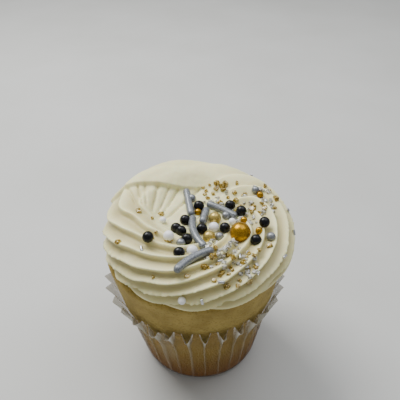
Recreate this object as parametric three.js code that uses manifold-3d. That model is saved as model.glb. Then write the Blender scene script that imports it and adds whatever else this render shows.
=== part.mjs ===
// A cupcake in a pleated paper case: the sponge, its thick piped swirl of buttercream, and the
// pearls, rods and sugar crystals scattered on it. Millimetres, +Z up, standing on z = 0,
// with its front towards -Y.
import * as THREE from 'three';
import { mergeVertices } from 'three/addons/utils/BufferGeometryUtils.js';
import Module from 'manifold-3d';

const wasm = await Module();
wasm.setup();

const SWAY = 0.035;              // sponge and case lean this far to the left for each mm of height

// Paper case: a flat bottom, a wall that clings to the sponge, and a rim that flares away from it
const CASE_BOTTOM_RADIUS = 23.9;
const CASE_CORNER = 2.8;
const CASE_LEAN = 0.22;          // growth in radius for each millimetre of height
const CLING_HEIGHT = 22;
const RIM_HEIGHT = 38.3;
const RIM_FLARE = 2.0;           // how far the rim stands out past the line of the lower wall
const FLARE_CURVE = 1.3;
const RIM_SWAY = 0.6;            // the rim is pushed this much further to the left,
const RIM_TUCK = 1.4;            // and it lies this much closer to the sponge at the front,
const RIM_LIFT = 1.2;            // where it stands this much higher
const PAPER = 0.45;
const PLEATS = 32;
const PLEAT_DEPTH_LOW = 0.35;    // half of a pleat's depth where the paper clings
const PLEAT_DEPTH_RIM = 1.4;     // and at the free rim,
const PLEAT_TUCK = 0.4;          // where it is this much less at the front
const CORNER_LEVELS = [0, 0.35, 1];
const WALL_LEVELS = 6;

// Sponge
const FRONT_ANGLE = 1.5 * Math.PI;
const GAP = 0.35;                // what the sponge keeps clear of the paper and the icing
const SPONGE_RADIUS = 25.0;      // where the line of its side meets the ground
const SPONGE_LEAN = 0.165;
const SPONGE_SHOULDER = 51.2;
const SPONGE_TOP = 53.0;
const SPONGE_EDGE = 1.8;         // how far in the rounded top edge starts
const SPONGE_CORNER = 3.0;
const SPONGE_SIDES = 48;
const SPONGE_LEVELS = 7;
const EDGE_STEPS = 3;

// Icing: one fat ring, its section rounder above than below, with a shallow dip in its middle
const RING_RADIUS = 24.0;
const RING_HEIGHT = 59.2;
const RING_REACH = 9.9;          // from the ring's middle out to its side
const RING_TRIM = 0.9;           // the reach is this much less on the right,
const TRIM_ANGLE = 15;           // most of all at this angle
const RING_RISE = 10.5;          // and up to its top
const RING_LIFT = 2.9;           // the back left stands this much higher, the front right lower
const LIFT_ANGLE = 125;
const UNDERSIDE_ROUNDNESS = 4.5; // exponent of the lower half of the section
const DIP_DEPTH = 3.2;
const DIP_START = 3.0;           // how far inside the ring's crown the dip starts
const DIP_WIDTH = 9.0;
const SECTION_START = -86;       // degrees: where the section leaves the underside
const ICING_STEPS = 80;          // round the swirl
const SIDE_ROWS = 24;
const DIP_ROWS = 9;
const DIP_END = 0.93;            // share of the way in at which the last ring lies
const SECTION_STEPS = 24;        // steps in which a section's length is measured
const TRAVEL_NUDGE = 1e-3;

// Star-tip ridges that wind up the side and in over the crown
const RIDGE_HEIGHT = 1.9;
const RIDGE_SOFTNESS = 0.25;
const RIDGE_VALLEY = 0.66;       // share of the way up to the next ridge at which the valley lies
const RIDGE_PITCH = 3.4;         // spacing where they leave the lower edge
const RIDGE_SPREAD = 0.08;       // how much wider they lie for each millimetre up
const RIDGE_DENSITY = 0.737;
const RIDGE_BUNCHING = 0.397;    // how much more densely they lie at the front
const BUNCHING_ANGLE = 276;
const TUCKED_LENGTH = 8.5;       // length of the section that is tucked under the lower edge
const RIDGE_START = 3.0;         // the ridges grow over this length up to the lower edge
const FADE_START = 20;           // the ridges fade over the crown
const FADE_LENGTH = 10;
const FADE_DEPTH = 0.8;
// [degrees past the left side, ridges that have left the lower edge by then]
const RIDGES_RISEN = [
  [0, 1.72], [22, 3.06], [45, 4.21], [68, 5.06], [90, 6.01], [115, 7.01], [142, 7.54], [180, 7.98],
  [270, 9.7], [360, 10.72],
];
// [degrees round the swirl, share of the full ridge height]
const RIDGE_STRENGTH = [
  [0, 1.0], [30, 0.75], [60, 0.35], [100, 0.2], [150, 0.35], [185, 0.9], [215, 1.0], [320, 1.05], [360, 1.0],
];

// The last sweep of icing ends at the back left and lies over the fan of grooves that starts there
const SWEEP_EDGE_Y = 9.3;        // y of the edge's line at SWEEP_EDGE_X
const SWEEP_EDGE_X = -27;
const SWEEP_EDGE_SLOPE = 0.17;
const SWEEP_RISE = 1.5;
const SWEEP_EDGE_WIDTH = 1.4;
const SWEEP_END_X = 6;
const SWEEP_FADE_LENGTH = 18;
const FAN_X = -17.9;
const FAN_Y = -11.6;
const FAN_START = 7.5;           // the grooves run from this far off the fan's point
const FAN_GROWTH = 6;
const FAN_FROM = 47;             // degrees
const FAN_TO = 121;
const FAN_MARGIN = 9;
const FAN_FINGER = 9.6;          // degrees from one finger to the next
const FAN_DEPTH = 1.3;

// Sprinkles: diameters, and how much of its radius a sprinkle's middle stands above the icing
const SEAT = 0.5;
const PEARL = 3.9;
const SMALL_PEARL = 3.1;
const LEAST_PEARL = 2.6;
const WIDE_PEARL = 4.6;
const GREAT_PEARL = 7.0;
const PEARL_SIDES = 6;
const PEARL_LEVELS = 4;
const GREAT_PEARL_DETAIL = 2;    // the great pearl has this many times the facets each way
const ROD_THICKNESS = 2.5;
const ROD_SIDES = 5;
const ROD_STEPS = 4;
const ROD_RESTS = [0.25, 0.5, 0.75]; // places along a rod that may rest on the icing besides its ends
const CRYSTAL = 2.0;
const CRYSTAL_LEAST = 0.7;       // smallest and largest share of the crystal size
const CRYSTAL_MOST = 1.2;
const CRYSTAL_WIDTH = 0.8;       // shares of a crystal's length
const CRYSTAL_DEPTH = 0.7;
const CRYSTAL_SEAT = 0.1;        // share of its size that a crystal's middle stands above the icing
const CRYSTAL_SEED = 41;
const WELD = 0.02;               // edges shorter than this are drawn together after fusing
const SAME_POINT = 1e-4;         // points closer than this are one

// Where the pearls lie, [x, y]
const PEARLS = [
  [-16.8, -18.1], [-8.3, -8.3], [-5.3, -4.2], [-6.5, -9.6], [-4.6, -16.2], [0.7, -7.8], [-0.4, 3.6],
  [8.6, -7.3], [11.1, 4.8], [15.5, 0.6], [21.9, -8.4], [18.7, -15.5], [-6.7, -22.6], [-10.7, -15.8],
  [-2.5, -21.3], [4.8, -6.8],
];
const SMALL_PEARLS = [[20.6, 9.5], [23.7, -13.2], [6.8, -11.2], [9.3, -0.8], [-6.4, -17.7], [-3.0, 7.7]];
const LEAST_PEARLS = [
  [-13.3, -5.0], [11.3, -3.9], [-0.8, 0.6], [20.0, -11.1], [16.1, -6.0], [22.2, 7.5], [-5.5, -34.0],
];
const WIDE_PEARLS = [[5.2, -2.6], [3.1, -11.8]];
const GREAT_PEARLS = [[14.0, -12.3]];

// Where the larger sugar crystals lie, [x, y]
const CRYSTALS = [
  [-14.6, -28.7], [1.2, -26.8], [-9.7, -16.8], [-14.8, -14.1], [-21.4, -3.6], [-16.8, -6.2], [-26.2, -15.9],
  [-4.0, -30.0], [4.3, -30.8], [12.1, -30.0], [17.6, -25.1], [9.8, -26.3], [23.2, 0.2], [27.0, 1.8],
  [14.1, 14.4], [15.1, -22.5], [6.9, -28.2], [27.2, 5.9], [24.5, 14.8], [10.0, 13.9], [6.2, 13.7],
  [1.9, 11.0], [7.1, 6.9], [10.6, 9.4], [15.8, 8.7], [4.9, -19.7], [23.0, -16.8], [9.1, -21.7], [18.9, -19.9],
];

// Where the rods lie: both ends, and how far the middle bows out to the right of the straight line
const RODS = [
  { from: [-5.1, 11.1], to: [-3.3, -1.0], bow: 0 },
  { from: [-2.7, -3.1], to: [1.0, -18.4], bow: 1.3 },
  { from: [2.2, 1.2], to: [1.0, -4.0], bow: 0 },
  { from: [3.7, 4.6], to: [12.2, -0.8], bow: -0.3 },
  { from: [-6.6, -28.5], to: [3.2, -21.2], bow: -1.0 },
];

const { degToRad, radToDeg, euclideanModulo, lerp, smoothstep } = THREE.MathUtils;
const eased = (value) => smoothstep(value, 0, 1);

/** A repeatable row of numbers from 0 to 1. */
function seededDraw(seed) {
  let state = seed;
  return () => {
    state = (Math.imul(state, 1664525) + 1013904223) >>> 0;
    return state / 2 ** 32;
  };
}

/** Smooth curve through [place, value] knots, level or leaning as its neighbours are. */
function throughKnots(knots, place) {
  const last = knots.length - 1;
  const gain = (from, column) => knots[from + 1][column] - knots[from][column];
  const slope = (from) => gain(from, 1) / gain(from, 0);
  const endLean = (slope(0) + slope(last - 1)) / 2;
  const lean = (knot) => (knot === 0 || knot === last ? endLean : (slope(knot - 1) + slope(knot)) / 2);
  const next = Math.max(1, knots.findIndex(([start]) => start > place));
  const span = knots[next][0] - knots[next - 1][0];
  const t = (place - knots[next - 1][0]) / span;
  const value = lerp(knots[next - 1][1], knots[next][1], 3 * t ** 2 - 2 * t ** 3);
  return value + span * ((t ** 3 - 2 * t ** 2 + t) * lean(next - 1) + (t ** 3 - t ** 2) * lean(next));
}

/** A closed skin over rings of points, from a pole below round to a pole above. */
function closedSkin(startPole, rings, endPole) {
  const count = rings[0].length;
  const points = [startPole, ...rings.flat(), endPole];
  const at = (ring, step) => 1 + ring * count + (step % count);
  const last = rings.length - 1;
  const index = [];
  for (let step = 0; step < count; step += 1) {
    index.push(0, at(0, step + 1), at(0, step));
    for (let ring = 0; ring < last; ring += 1) {
      index.push(at(ring, step), at(ring, step + 1), at(ring + 1, step + 1));
      index.push(at(ring, step), at(ring + 1, step + 1), at(ring + 1, step));
    }
    index.push(points.length - 1, at(last, step), at(last, step + 1));
  }
  const geometry = new THREE.BufferGeometry().setFromPoints(points);
  geometry.setIndex(index);
  geometry.computeVertexNormals();
  return geometry;
}

/** How far up the flared rim a height is, from 0 where the paper leaves the sponge to 1. */
function flareShare(height) {
  return Math.max(0, (height - CLING_HEIGHT) / (RIM_HEIGHT - CLING_HEIGHT));
}

/** Middle radius of the case's wall at a height, on the side that an angle gives. */
function caseRadius(height, angle) {
  const share = Math.max(0, 1 - height / CASE_CORNER);
  const corner = CASE_CORNER * (1 - Math.sqrt(1 - share ** 2));
  const flare = flareShare(height);
  const front = Math.max(0, -Math.sin(angle));
  const out = RIM_FLARE * flare ** FLARE_CURVE - flare * (RIM_SWAY * Math.cos(angle) + RIM_TUCK * front);
  return CASE_BOTTOM_RADIUS + CASE_LEAN * height - corner + out;
}

/** Half of a pleat's depth at a height. The pleats start from nothing at the flat bottom. */
function pleatDepth(height, angle) {
  const start = Math.min(1, height / CASE_CORNER);
  const rim = PLEAT_DEPTH_RIM - PLEAT_TUCK * Math.max(0, -Math.sin(angle));
  return start * lerp(PLEAT_DEPTH_LOW, rim, flareShare(height));
}

/** One ring of the case's wall, its radius set out by an offset and lifted to the paper's floor. */
function caseRing(height, offset, floor) {
  const points = 2 * PLEATS;
  return Array.from({ length: points }, (_, step) => {
    const angle = (2 * Math.PI * step) / points;
    const fold = step % 2 === 0 ? -1 : 1;
    const radius = caseRadius(height, angle) + fold * pleatDepth(height, angle) + offset;
    const lift = RIM_LIFT * flareShare(height) * Math.max(0, -Math.sin(angle));
    const top = Math.max(floor, height + lift);
    return new THREE.Vector3(radius * Math.cos(angle) - SWAY * height, radius * Math.sin(angle), top);
  });
}

/** The pleated paper case, one closed sheet with a flat bottom. */
function paperCase() {
  const heights = CORNER_LEVELS.map((share) => share * CASE_CORNER);
  for (let level = 1; level <= WALL_LEVELS; level += 1) {
    heights.push(lerp(CASE_CORNER, RIM_HEIGHT, level / WALL_LEVELS));
  }
  const outside = heights.map((height) => caseRing(height, PAPER / 2, 0));
  const inside = heights.map((height) => caseRing(height, -PAPER / 2, PAPER)).reverse();
  return closedSkin(new THREE.Vector3(0, 0, 0), [...outside, ...inside], new THREE.Vector3(0, 0, PAPER));
}

/** Radius of the sponge at a height: its own line, or what the case leaves free where that is less. */
function spongeRadius(height) {
  const line = SPONGE_RADIUS + SPONGE_LEAN * height;
  if (height > RIM_HEIGHT) {
    return line;
  }
  const unlifted = height - RIM_LIFT * flareShare(height);
  const free = caseRadius(unlifted, FRONT_ANGLE) - pleatDepth(height, FRONT_ANGLE) - PAPER / 2 - GAP;
  return Math.min(line, free);
}

/** The sponge: round, with a rounded foot and top edge, leaning to the left as it rises. */
function sponge() {
  const floor = PAPER + GAP;
  const foot = spongeRadius(SPONGE_CORNER + floor);
  const profile = [new THREE.Vector2(0, floor), new THREE.Vector2(foot - SPONGE_CORNER, floor)];
  for (let level = 0; level <= SPONGE_LEVELS; level += 1) {
    const height = lerp(SPONGE_CORNER + floor, SPONGE_SHOULDER, level / SPONGE_LEVELS);
    profile.push(new THREE.Vector2(spongeRadius(height), height));
  }
  const edge = spongeRadius(SPONGE_SHOULDER) - SPONGE_EDGE;
  for (let step = 1; step <= EDGE_STEPS; step += 1) {
    const turn = (Math.PI / 2) * (step / EDGE_STEPS);
    const rise = (SPONGE_TOP - SPONGE_SHOULDER) * Math.sin(turn);
    profile.push(new THREE.Vector2(edge + SPONGE_EDGE * Math.cos(turn), SPONGE_SHOULDER + rise));
  }
  profile.push(new THREE.Vector2(0, SPONGE_TOP));
  const geometry = new THREE.LatheGeometry(profile, SPONGE_SIDES);
  geometry.rotateX(Math.PI / 2);
  geometry.applyMatrix4(new THREE.Matrix4().makeShear(0, 0, 0, 0, -SWAY, 0));
  return geometry;
}

/** How far the ring's side stands out from the ring's middle at an angle. */
function ringReach(angle) {
  return RING_REACH - RING_TRIM * Math.max(0, Math.cos(angle - degToRad(TRIM_ANGLE)));
}

/**
 * The icing's smooth form before its ridges. travel runs from 0 at the underside to 1 on the
 * ring's crown, and on to 2 at the middle of the dip.
 */
function smoothIcing(angle, travel) {
  const lift = RING_LIFT * Math.cos(angle - degToRad(LIFT_ANGLE));
  if (travel > 1) {
    const radius = RING_RADIUS * (2 - travel);
    const dip = DIP_DEPTH * eased((RING_RADIUS - radius - DIP_START) / DIP_WIDTH);
    return { radius, height: RING_HEIGHT + RING_RISE + lift * (2 - travel) - dip };
  }
  const turn = degToRad(lerp(SECTION_START, 90, travel));
  const under = turn < 0;
  const exponent = under ? 2 / UNDERSIDE_ROUNDNESS : 1;
  const rise = under ? RING_HEIGHT - SPONGE_TOP - GAP : RING_RISE + lift;
  return {
    radius: RING_RADIUS + ringReach(angle) * Math.cos(turn) ** exponent,
    height: RING_HEIGHT + rise * Math.sign(turn) * Math.abs(Math.sin(turn)) ** exponent,
  };
}

/** How many ridges have left the lower edge, counted on round the swirl without a break. */
function ridgesRisen(angle) {
  const degrees = radToDeg(angle) - 180;
  const turns = Math.floor(degrees / 360);
  const [[, first]] = RIDGES_RISEN;
  const [, last] = RIDGES_RISEN[RIDGES_RISEN.length - 1];
  return throughKnots(RIDGES_RISEN, degrees - 360 * turns) + (last - first) * turns;
}

/** Height of the star-tip ridges at an angle, a length up the section from the lower edge. */
function ridgeHeight(angle, length) {
  const density = RIDGE_DENSITY + RIDGE_BUNCHING * Math.cos(angle - degToRad(BUNCHING_ANGLE));
  const spread = Math.log(1 + (RIDGE_SPREAD * length) / RIDGE_PITCH) / RIDGE_SPREAD;
  const place = euclideanModulo(density * spread - ridgesRisen(angle), 1);
  const swing = place < RIDGE_VALLEY
    ? (0.5 * place) / RIDGE_VALLEY
    : 1 - (0.5 * (1 - place)) / (1 - RIDGE_VALLEY);
  const valley = Math.sqrt(Math.sin(Math.PI * swing) ** 2 + RIDGE_SOFTNESS ** 2);
  const strength = throughKnots(RIDGE_STRENGTH, euclideanModulo(radToDeg(angle), 360));
  const start = eased((length + RIDGE_START) / RIDGE_START);
  const fade = 1 - FADE_DEPTH * eased((length - FADE_START) / FADE_LENGTH);
  return RIDGE_HEIGHT * strength * start * fade * ((1 - valley) / (1 - RIDGE_SOFTNESS));
}

/** Relief of the last sweep's edge and of the fan of grooves that comes out from under it. */
function sweepAndFan(x, y, length) {
  const edge = SWEEP_EDGE_Y + SWEEP_EDGE_SLOPE * (x - SWEEP_EDGE_X);
  const over = eased((y - edge) / SWEEP_EDGE_WIDTH + 0.5);
  const reach = eased((SWEEP_END_X - x) / SWEEP_FADE_LENGTH) * eased(length / RIDGE_START);
  const away = Math.hypot(x - FAN_X, y - FAN_Y);
  const turn = radToDeg(Math.atan2(y - FAN_Y, x - FAN_X));
  const across = eased((turn - FAN_FROM) / FAN_MARGIN) * eased((FAN_TO - turn) / FAN_MARGIN);
  const along = eased((away - FAN_START) / FAN_GROWTH) * (1 - over);
  const groove = 1 - Math.abs(Math.sin((Math.PI * (turn - FAN_FROM)) / FAN_FINGER));
  return SWEEP_RISE * reach * over - FAN_DEPTH * across * along * groove ** 2;
}

/** Length of the section up to a travel, counted from the lower edge and below 0 underneath it. */
function sectionLength(angle, travel) {
  const steps = Math.ceil(travel * SECTION_STEPS);
  let length = -TUCKED_LENGTH;
  let before = smoothIcing(angle, 0);
  for (let step = 1; step <= steps; step += 1) {
    const here = smoothIcing(angle, (travel * step) / steps);
    length += Math.hypot(here.radius - before.radius, here.height - before.height);
    before = here;
  }
  return length;
}

/** A point of the iced surface, set out from it by a lift. */
function icingPoint(angle, travel, lift = 0) {
  const here = smoothIcing(angle, travel);
  const ahead = smoothIcing(angle, travel + TRAVEL_NUDGE);
  const run = Math.hypot(ahead.radius - here.radius, ahead.height - here.height);
  const outward = (ahead.height - here.height) / run;
  const upward = (here.radius - ahead.radius) / run;
  const length = sectionLength(angle, travel);
  const relief = sweepAndFan(here.radius * Math.cos(angle), here.radius * Math.sin(angle), length);
  const out = relief + ridgeHeight(angle, length) + lift;
  const radius = here.radius + outward * out;
  return new THREE.Vector3(radius * Math.cos(angle), radius * Math.sin(angle), here.height + upward * out);
}

/** The piped swirl as a closed skin, flat underneath. */
function swirl() {
  const side = Array.from({ length: SIDE_ROWS + 1 }, (_, row) => row / SIDE_ROWS);
  const dip = Array.from({ length: DIP_ROWS }, (_, row) => 1 + (DIP_END * (row + 1)) / DIP_ROWS);
  const rings = [...side, ...dip].map((travel) => (
    Array.from({ length: ICING_STEPS }, (_, step) => icingPoint((2 * Math.PI * step) / ICING_STEPS, travel))
  ));
  const bottom = new THREE.Vector3(0, 0, SPONGE_TOP + GAP);
  const crown = new THREE.Vector3(0, 0, smoothIcing(0, 2).height);
  return closedSkin(bottom, rings, crown);
}

/** The place on the icing straight above [x, y], set out from it by a lift. */
function onIcing([x, y], lift) {
  const radius = Math.hypot(x, y);
  const angle = Math.atan2(y, x);
  if (radius <= RING_RADIUS) {
    return icingPoint(angle, 2 - radius / RING_RADIUS, lift);
  }
  const turn = radToDeg(Math.acos(Math.min(1, (radius - RING_RADIUS) / ringReach(angle))));
  return icingPoint(angle, (turn - SECTION_START) / (90 - SECTION_START), lift);
}

/** A pearl of the given diameter, seated in the icing. */
function pearl(diameter, spot) {
  const detail = diameter === GREAT_PEARL ? GREAT_PEARL_DETAIL : 1;
  const geometry = new THREE.SphereGeometry(diameter / 2, PEARL_SIDES * detail, PEARL_LEVELS * detail);
  const middle = onIcing(spot, (SEAT * diameter) / 2);
  geometry.translate(middle.x, middle.y, middle.z);
  return geometry;
}

/** A rod of sugar lying on the icing, bent where its bow says. */
function rod({ from, to, bow }) {
  const lift = (SEAT * ROD_THICKNESS) / 2;
  const ends = [onIcing(from, lift), onIcing(to, lift)];
  const [across, along] = [to[0] - from[0], to[1] - from[1]];
  const aside = new THREE.Vector3(along, -across, 0).multiplyScalar((2 * bow) / Math.hypot(across, along));
  const middle = ends[0].clone().lerp(ends[1], 0.5).add(aside);
  const path = new THREE.QuadraticBezierCurve3(ends[0], middle, ends[1]);
  const section = new THREE.Shape();
  for (let side = 0; side < ROD_SIDES; side += 1) {
    const turn = (2 * Math.PI * side) / ROD_SIDES;
    const [x, y] = [(ROD_THICKNESS / 2) * Math.cos(turn), (ROD_THICKNESS / 2) * Math.sin(turn)];
    if (side === 0) {
      section.moveTo(x, y);
    } else {
      section.lineTo(x, y);
    }
  }
  section.closePath();
  const risen = ROD_RESTS.map((share) => {
    const { x, y, z } = path.getPoint(share);
    return onIcing([x, y], lift).z - z;
  });
  const geometry = new THREE.ExtrudeGeometry(section, {
    steps: ROD_STEPS, bevelEnabled: false, extrudePath: path,
  });
  geometry.translate(0, 0, Math.max(0, ...risen));
  return geometry;
}

/** Sugar crystals, tumbled blocks sized and turned by a seeded draw. */
function crystals() {
  const draw = seededDraw(CRYSTAL_SEED);
  return CRYSTALS.map((spot) => {
    const size = CRYSTAL * lerp(CRYSTAL_LEAST, CRYSTAL_MOST, draw());
    const geometry = new THREE.BoxGeometry(size, CRYSTAL_WIDTH * size, CRYSTAL_DEPTH * size);
    geometry.rotateX(Math.PI * draw());
    geometry.rotateZ(Math.PI * draw());
    const middle = onIcing(spot, CRYSTAL_SEAT * size);
    geometry.translate(middle.x, middle.y, middle.z);
    return geometry;
  });
}

/** A closed geometry as a solid that booleans take. */
function solid(geometry) {
  const bare = geometry.clone();
  bare.deleteAttribute('normal');
  bare.deleteAttribute('uv');
  const merged = mergeVertices(bare, SAME_POINT);
  const vertProperties = Float32Array.from(merged.attributes.position.array);
  const triVerts = Uint32Array.from(merged.index.array);
  return new wasm.Manifold(new wasm.Mesh({ numProp: 3, vertProperties, triVerts }));
}

/** A solid as a three.js geometry. */
function geometryOf(body) {
  const { vertProperties, triVerts, numProp } = body.getMesh();
  const geometry = new THREE.BufferGeometry();
  const points = Array.from({ length: vertProperties.length / numProp }, (_, at) => (
    new THREE.Vector3().fromArray(vertProperties, at * numProp)
  ));
  geometry.setFromPoints(points);
  geometry.setIndex(Array.from(triVerts));
  geometry.computeVertexNormals();
  return geometry;
}

/** The swirl with its sprinkles fused on, as its one outer body: sealed hollows are filled. */
function icing() {
  const sprinkles = [
    ...PEARLS.map((spot) => pearl(PEARL, spot)),
    ...SMALL_PEARLS.map((spot) => pearl(SMALL_PEARL, spot)),
    ...LEAST_PEARLS.map((spot) => pearl(LEAST_PEARL, spot)),
    ...WIDE_PEARLS.map((spot) => pearl(WIDE_PEARL, spot)),
    ...GREAT_PEARLS.map((spot) => pearl(GREAT_PEARL, spot)),
    ...RODS.map(rod),
    ...crystals(),
  ];
  const fused = sprinkles.reduce((body, sprinkle) => body.add(solid(sprinkle)), solid(swirl()));
  const pieces = fused.simplify(WELD).decompose();
  return geometryOf(pieces.reduce((best, piece) => (piece.volume() > best.volume() ? piece : best)));
}

/** A named piece with its own finish. */
function piece(name, geometry, color, roughness) {
  const material = new THREE.MeshStandardMaterial({ color, roughness, metalness: 0 });
  const mesh = new THREE.Mesh(geometry, material);
  mesh.name = name;
  return mesh;
}

const cupcake = new THREE.Group();
cupcake.add(piece('paper_case', paperCase(), '#b9a67f', 0.6));
cupcake.add(piece('sponge', sponge(), '#c4a55c', 0.85));
cupcake.add(piece('icing', icing(), '#ece7cd', 0.5));

export default cupcake;
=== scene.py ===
"""A cupcake in its paper case: baked sponge, a piped swirl of buttercream, and sugar sprinkles.

Lengths are given in millimetres and turned to metres when a mesh is made.
"""
import logging
import math
import random
from collections.abc import Callable, Iterable, Sequence
from dataclasses import dataclass
from enum import Enum

import bpy
import numpy as np
from mathutils import Euler, Matrix, Vector, noise


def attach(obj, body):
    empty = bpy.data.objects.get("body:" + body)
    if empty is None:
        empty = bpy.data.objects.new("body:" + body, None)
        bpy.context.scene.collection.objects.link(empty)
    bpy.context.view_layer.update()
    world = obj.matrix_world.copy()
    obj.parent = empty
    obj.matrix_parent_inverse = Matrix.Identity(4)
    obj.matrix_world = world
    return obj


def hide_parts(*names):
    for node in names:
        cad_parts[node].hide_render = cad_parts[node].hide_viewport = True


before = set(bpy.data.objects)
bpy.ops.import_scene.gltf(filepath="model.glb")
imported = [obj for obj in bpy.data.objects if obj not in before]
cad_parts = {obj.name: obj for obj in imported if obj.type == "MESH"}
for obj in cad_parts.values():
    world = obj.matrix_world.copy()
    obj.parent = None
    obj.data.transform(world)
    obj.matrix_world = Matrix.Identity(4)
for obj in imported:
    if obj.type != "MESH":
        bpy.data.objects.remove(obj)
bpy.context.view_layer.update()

MM = 0.001
BODY = "root"
# Sockets of a colour Mix node, which share their names with its hidden ones
MIX_SHARE, MIX_A, MIX_B, MIX_RESULT = 0, 6, 7, 2
log = logging.getLogger("cupcake")

Spot = tuple[float, float]
Colour = tuple[float, float, float, float]


# Small helpers

def linear(code: str) -> Colour:
    """Turn an sRGB hex colour to linear.

    Args:
        code: Six hex digits after a hash sign.

    Returns:
        Linear red, green, blue, and an alpha of 1.
    """
    parts = [int(code[at:at + 2], 16) / 255 for at in (1, 3, 5)]
    straight = [part / 12.92 if part <= 0.04045 else ((part + 0.055) / 1.055) ** 2.4 for part in parts]
    return (*straight, 1.0)


def eased(value: np.ndarray | float) -> np.ndarray | float:
    """Ease from 0 to 1 as the value goes from 0 to 1, and stay level outside."""
    share = np.clip(value, 0.0, 1.0)
    return share * share * (3.0 - 2.0 * share)


def through_knots(knots: Sequence[tuple[float, float]], place: np.ndarray) -> np.ndarray:
    """Follow a smooth curve through knots.

    Args:
        knots: Pairs of place and value, in order of place.
        place: Where the curve is read.

    Returns:
        The curve's value at each place.
    """
    places, values = np.array(knots, float).T
    spans = np.diff(places)
    slopes = np.diff(values) / spans
    end = 0.5 * (slopes[0] + slopes[-1])
    leans = np.concatenate([[end], 0.5 * (slopes[1:] + slopes[:-1]), [end]])
    at = np.clip(np.searchsorted(places, place, side="right") - 1, 0, len(spans) - 1)
    t = (place - places[at]) / spans[at]
    value = values[at] + (values[at + 1] - values[at]) * (3 * t**2 - 2 * t**3)
    return value + spans[at] * ((t**3 - 2 * t**2 + t) * leans[at] + (t**3 - t**2) * leans[at + 1])


def deselect_all() -> None:
    """Leave nothing selected, so that an operator acts on the new piece alone."""
    bpy.ops.object.select_all(action="DESELECT")


def pick(piece: bpy.types.Object) -> None:
    """Select one piece alone and make it active.

    Args:
        piece: The piece to select.
    """
    deselect_all()
    piece.select_set(True)
    bpy.context.view_layer.objects.active = piece


def apply_modifiers(piece: bpy.types.Object) -> None:
    """Turn each modifier of a piece into mesh.

    Args:
        piece: The piece, which has no modifier left afterwards.
    """
    pick(piece)
    for modifier in list(piece.modifiers):
        bpy.ops.object.modifier_apply(modifier=modifier.name)


def smooth_shade(piece: bpy.types.Object, degrees: float | None = None) -> None:
    """Shade a piece smooth.

    Args:
        piece: The piece to shade.
        degrees: Edges sharper than this stay sharp. None shades it smooth all over.
    """
    pick(piece)
    if degrees is None:
        bpy.ops.object.shade_smooth()
    else:
        bpy.ops.object.shade_smooth_by_angle(angle=math.radians(degrees))


def ringed_piece(name: str, rings: np.ndarray, poles: tuple[float, float]) -> bpy.types.Object:
    """Make one closed mesh from rings of points, closed by a pole at either end.

    Args:
        name: The new piece's name.
        rings: Points in millimetres, as rings x steps x 3, from below round to above.
        poles: Heights of the first and last pole, on the axis.

    Returns:
        The new piece, at the origin.
    """
    count, steps, _ = rings.shape
    points = np.concatenate([rings.reshape(-1, 3), [[0, 0, poles[0]], [0, 0, poles[1]]]]) * MM
    ring, step = np.meshgrid(np.arange(count - 1), np.arange(steps), indexing="ij")
    here = ring * steps + step
    beside = ring * steps + (step + 1) % steps
    quads = np.stack([here, beside, beside + steps, here + steps], axis=-1).reshape(-1, 4)
    low, high, last = count * steps, count * steps + 1, (count - 1) * steps
    caps = [(low, (at + 1) % steps, at) for at in range(steps)]
    caps += [(high, last + at, last + (at + 1) % steps) for at in range(steps)]
    mesh = bpy.data.meshes.new(name)
    mesh.from_pydata(points.tolist(), [], quads.tolist() + caps)
    mesh.update()
    piece = bpy.data.objects.new(name, mesh)
    bpy.context.scene.collection.objects.link(piece)
    smooth_shade(piece)
    return piece


def store(piece: bpy.types.Object, name: str, values: np.ndarray) -> None:
    """Keep one number for each vertex of a piece, for its material to read."""
    attribute = piece.data.attributes.new(name, "FLOAT", "POINT")
    attribute.data.foreach_set("value", np.asarray(values, np.float32).ravel())


def joined(name: str, parts: list[bpy.types.Object]) -> bpy.types.Object:
    """Join loose parts into one piece at the origin.

    Args:
        name: The joined piece's name.
        parts: The parts, each with its own mesh.

    Returns:
        The joined piece, with its place in its mesh.
    """
    deselect_all()
    for part in parts:
        part.select_set(True)
    bpy.context.view_layer.objects.active = parts[0]
    bpy.ops.object.join()
    bpy.ops.object.transform_apply(location=True, rotation=True, scale=True)
    parts[0].name = name
    return parts[0]


def copy_of(master: bpy.types.Object, place: Matrix) -> bpy.types.Object:
    """Copy a master shape to a place.

    Args:
        master: The shape to copy.
        place: Where the copy stands, with its turn and size.

    Returns:
        The copy, with a mesh of its own.
    """
    twin = master.copy()
    twin.data = master.data.copy()
    twin.matrix_world = place
    bpy.context.scene.collection.objects.link(twin)
    return twin


def drop(parts: Iterable[bpy.types.Object]) -> None:
    """Remove master shapes once their copies are made.

    Args:
        parts: The master shapes.
    """
    for part in parts:
        mesh = part.data
        bpy.data.objects.remove(part)
        bpy.data.meshes.remove(mesh)


def add_node(tree: bpy.types.NodeTree, kind: str, settings: dict | None = None,
             links: dict | None = None) -> bpy.types.Node:
    """Add one shader node.

    Args:
        tree: The material's node tree.
        kind: The node's type name.
        settings: Values by attribute name, or by input name or number.
        links: Output sockets by input name or number.

    Returns:
        The new node.
    """
    node = tree.nodes.new(kind)
    for key, value in (settings or {}).items():
        if isinstance(key, str) and hasattr(node, key):
            setattr(node, key, value)
        else:
            node.inputs[key].default_value = value
    for key, socket in (links or {}).items():
        tree.links.new(socket, node.inputs[key])
    return node


def new_material(name: str) -> tuple[bpy.types.Material, bpy.types.NodeTree, bpy.types.Node]:
    """Start a material with one principled shader.

    Args:
        name: The material's name.

    Returns:
        The material, its tree, and the shader.
    """
    material = bpy.data.materials.new(name)
    material.use_nodes = True
    tree = material.node_tree
    tree.nodes.clear()
    shader = add_node(tree, "ShaderNodeBsdfPrincipled")
    add_node(tree, "ShaderNodeOutputMaterial", links={"Surface": shader.outputs[0]})
    return material, tree, shader


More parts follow.
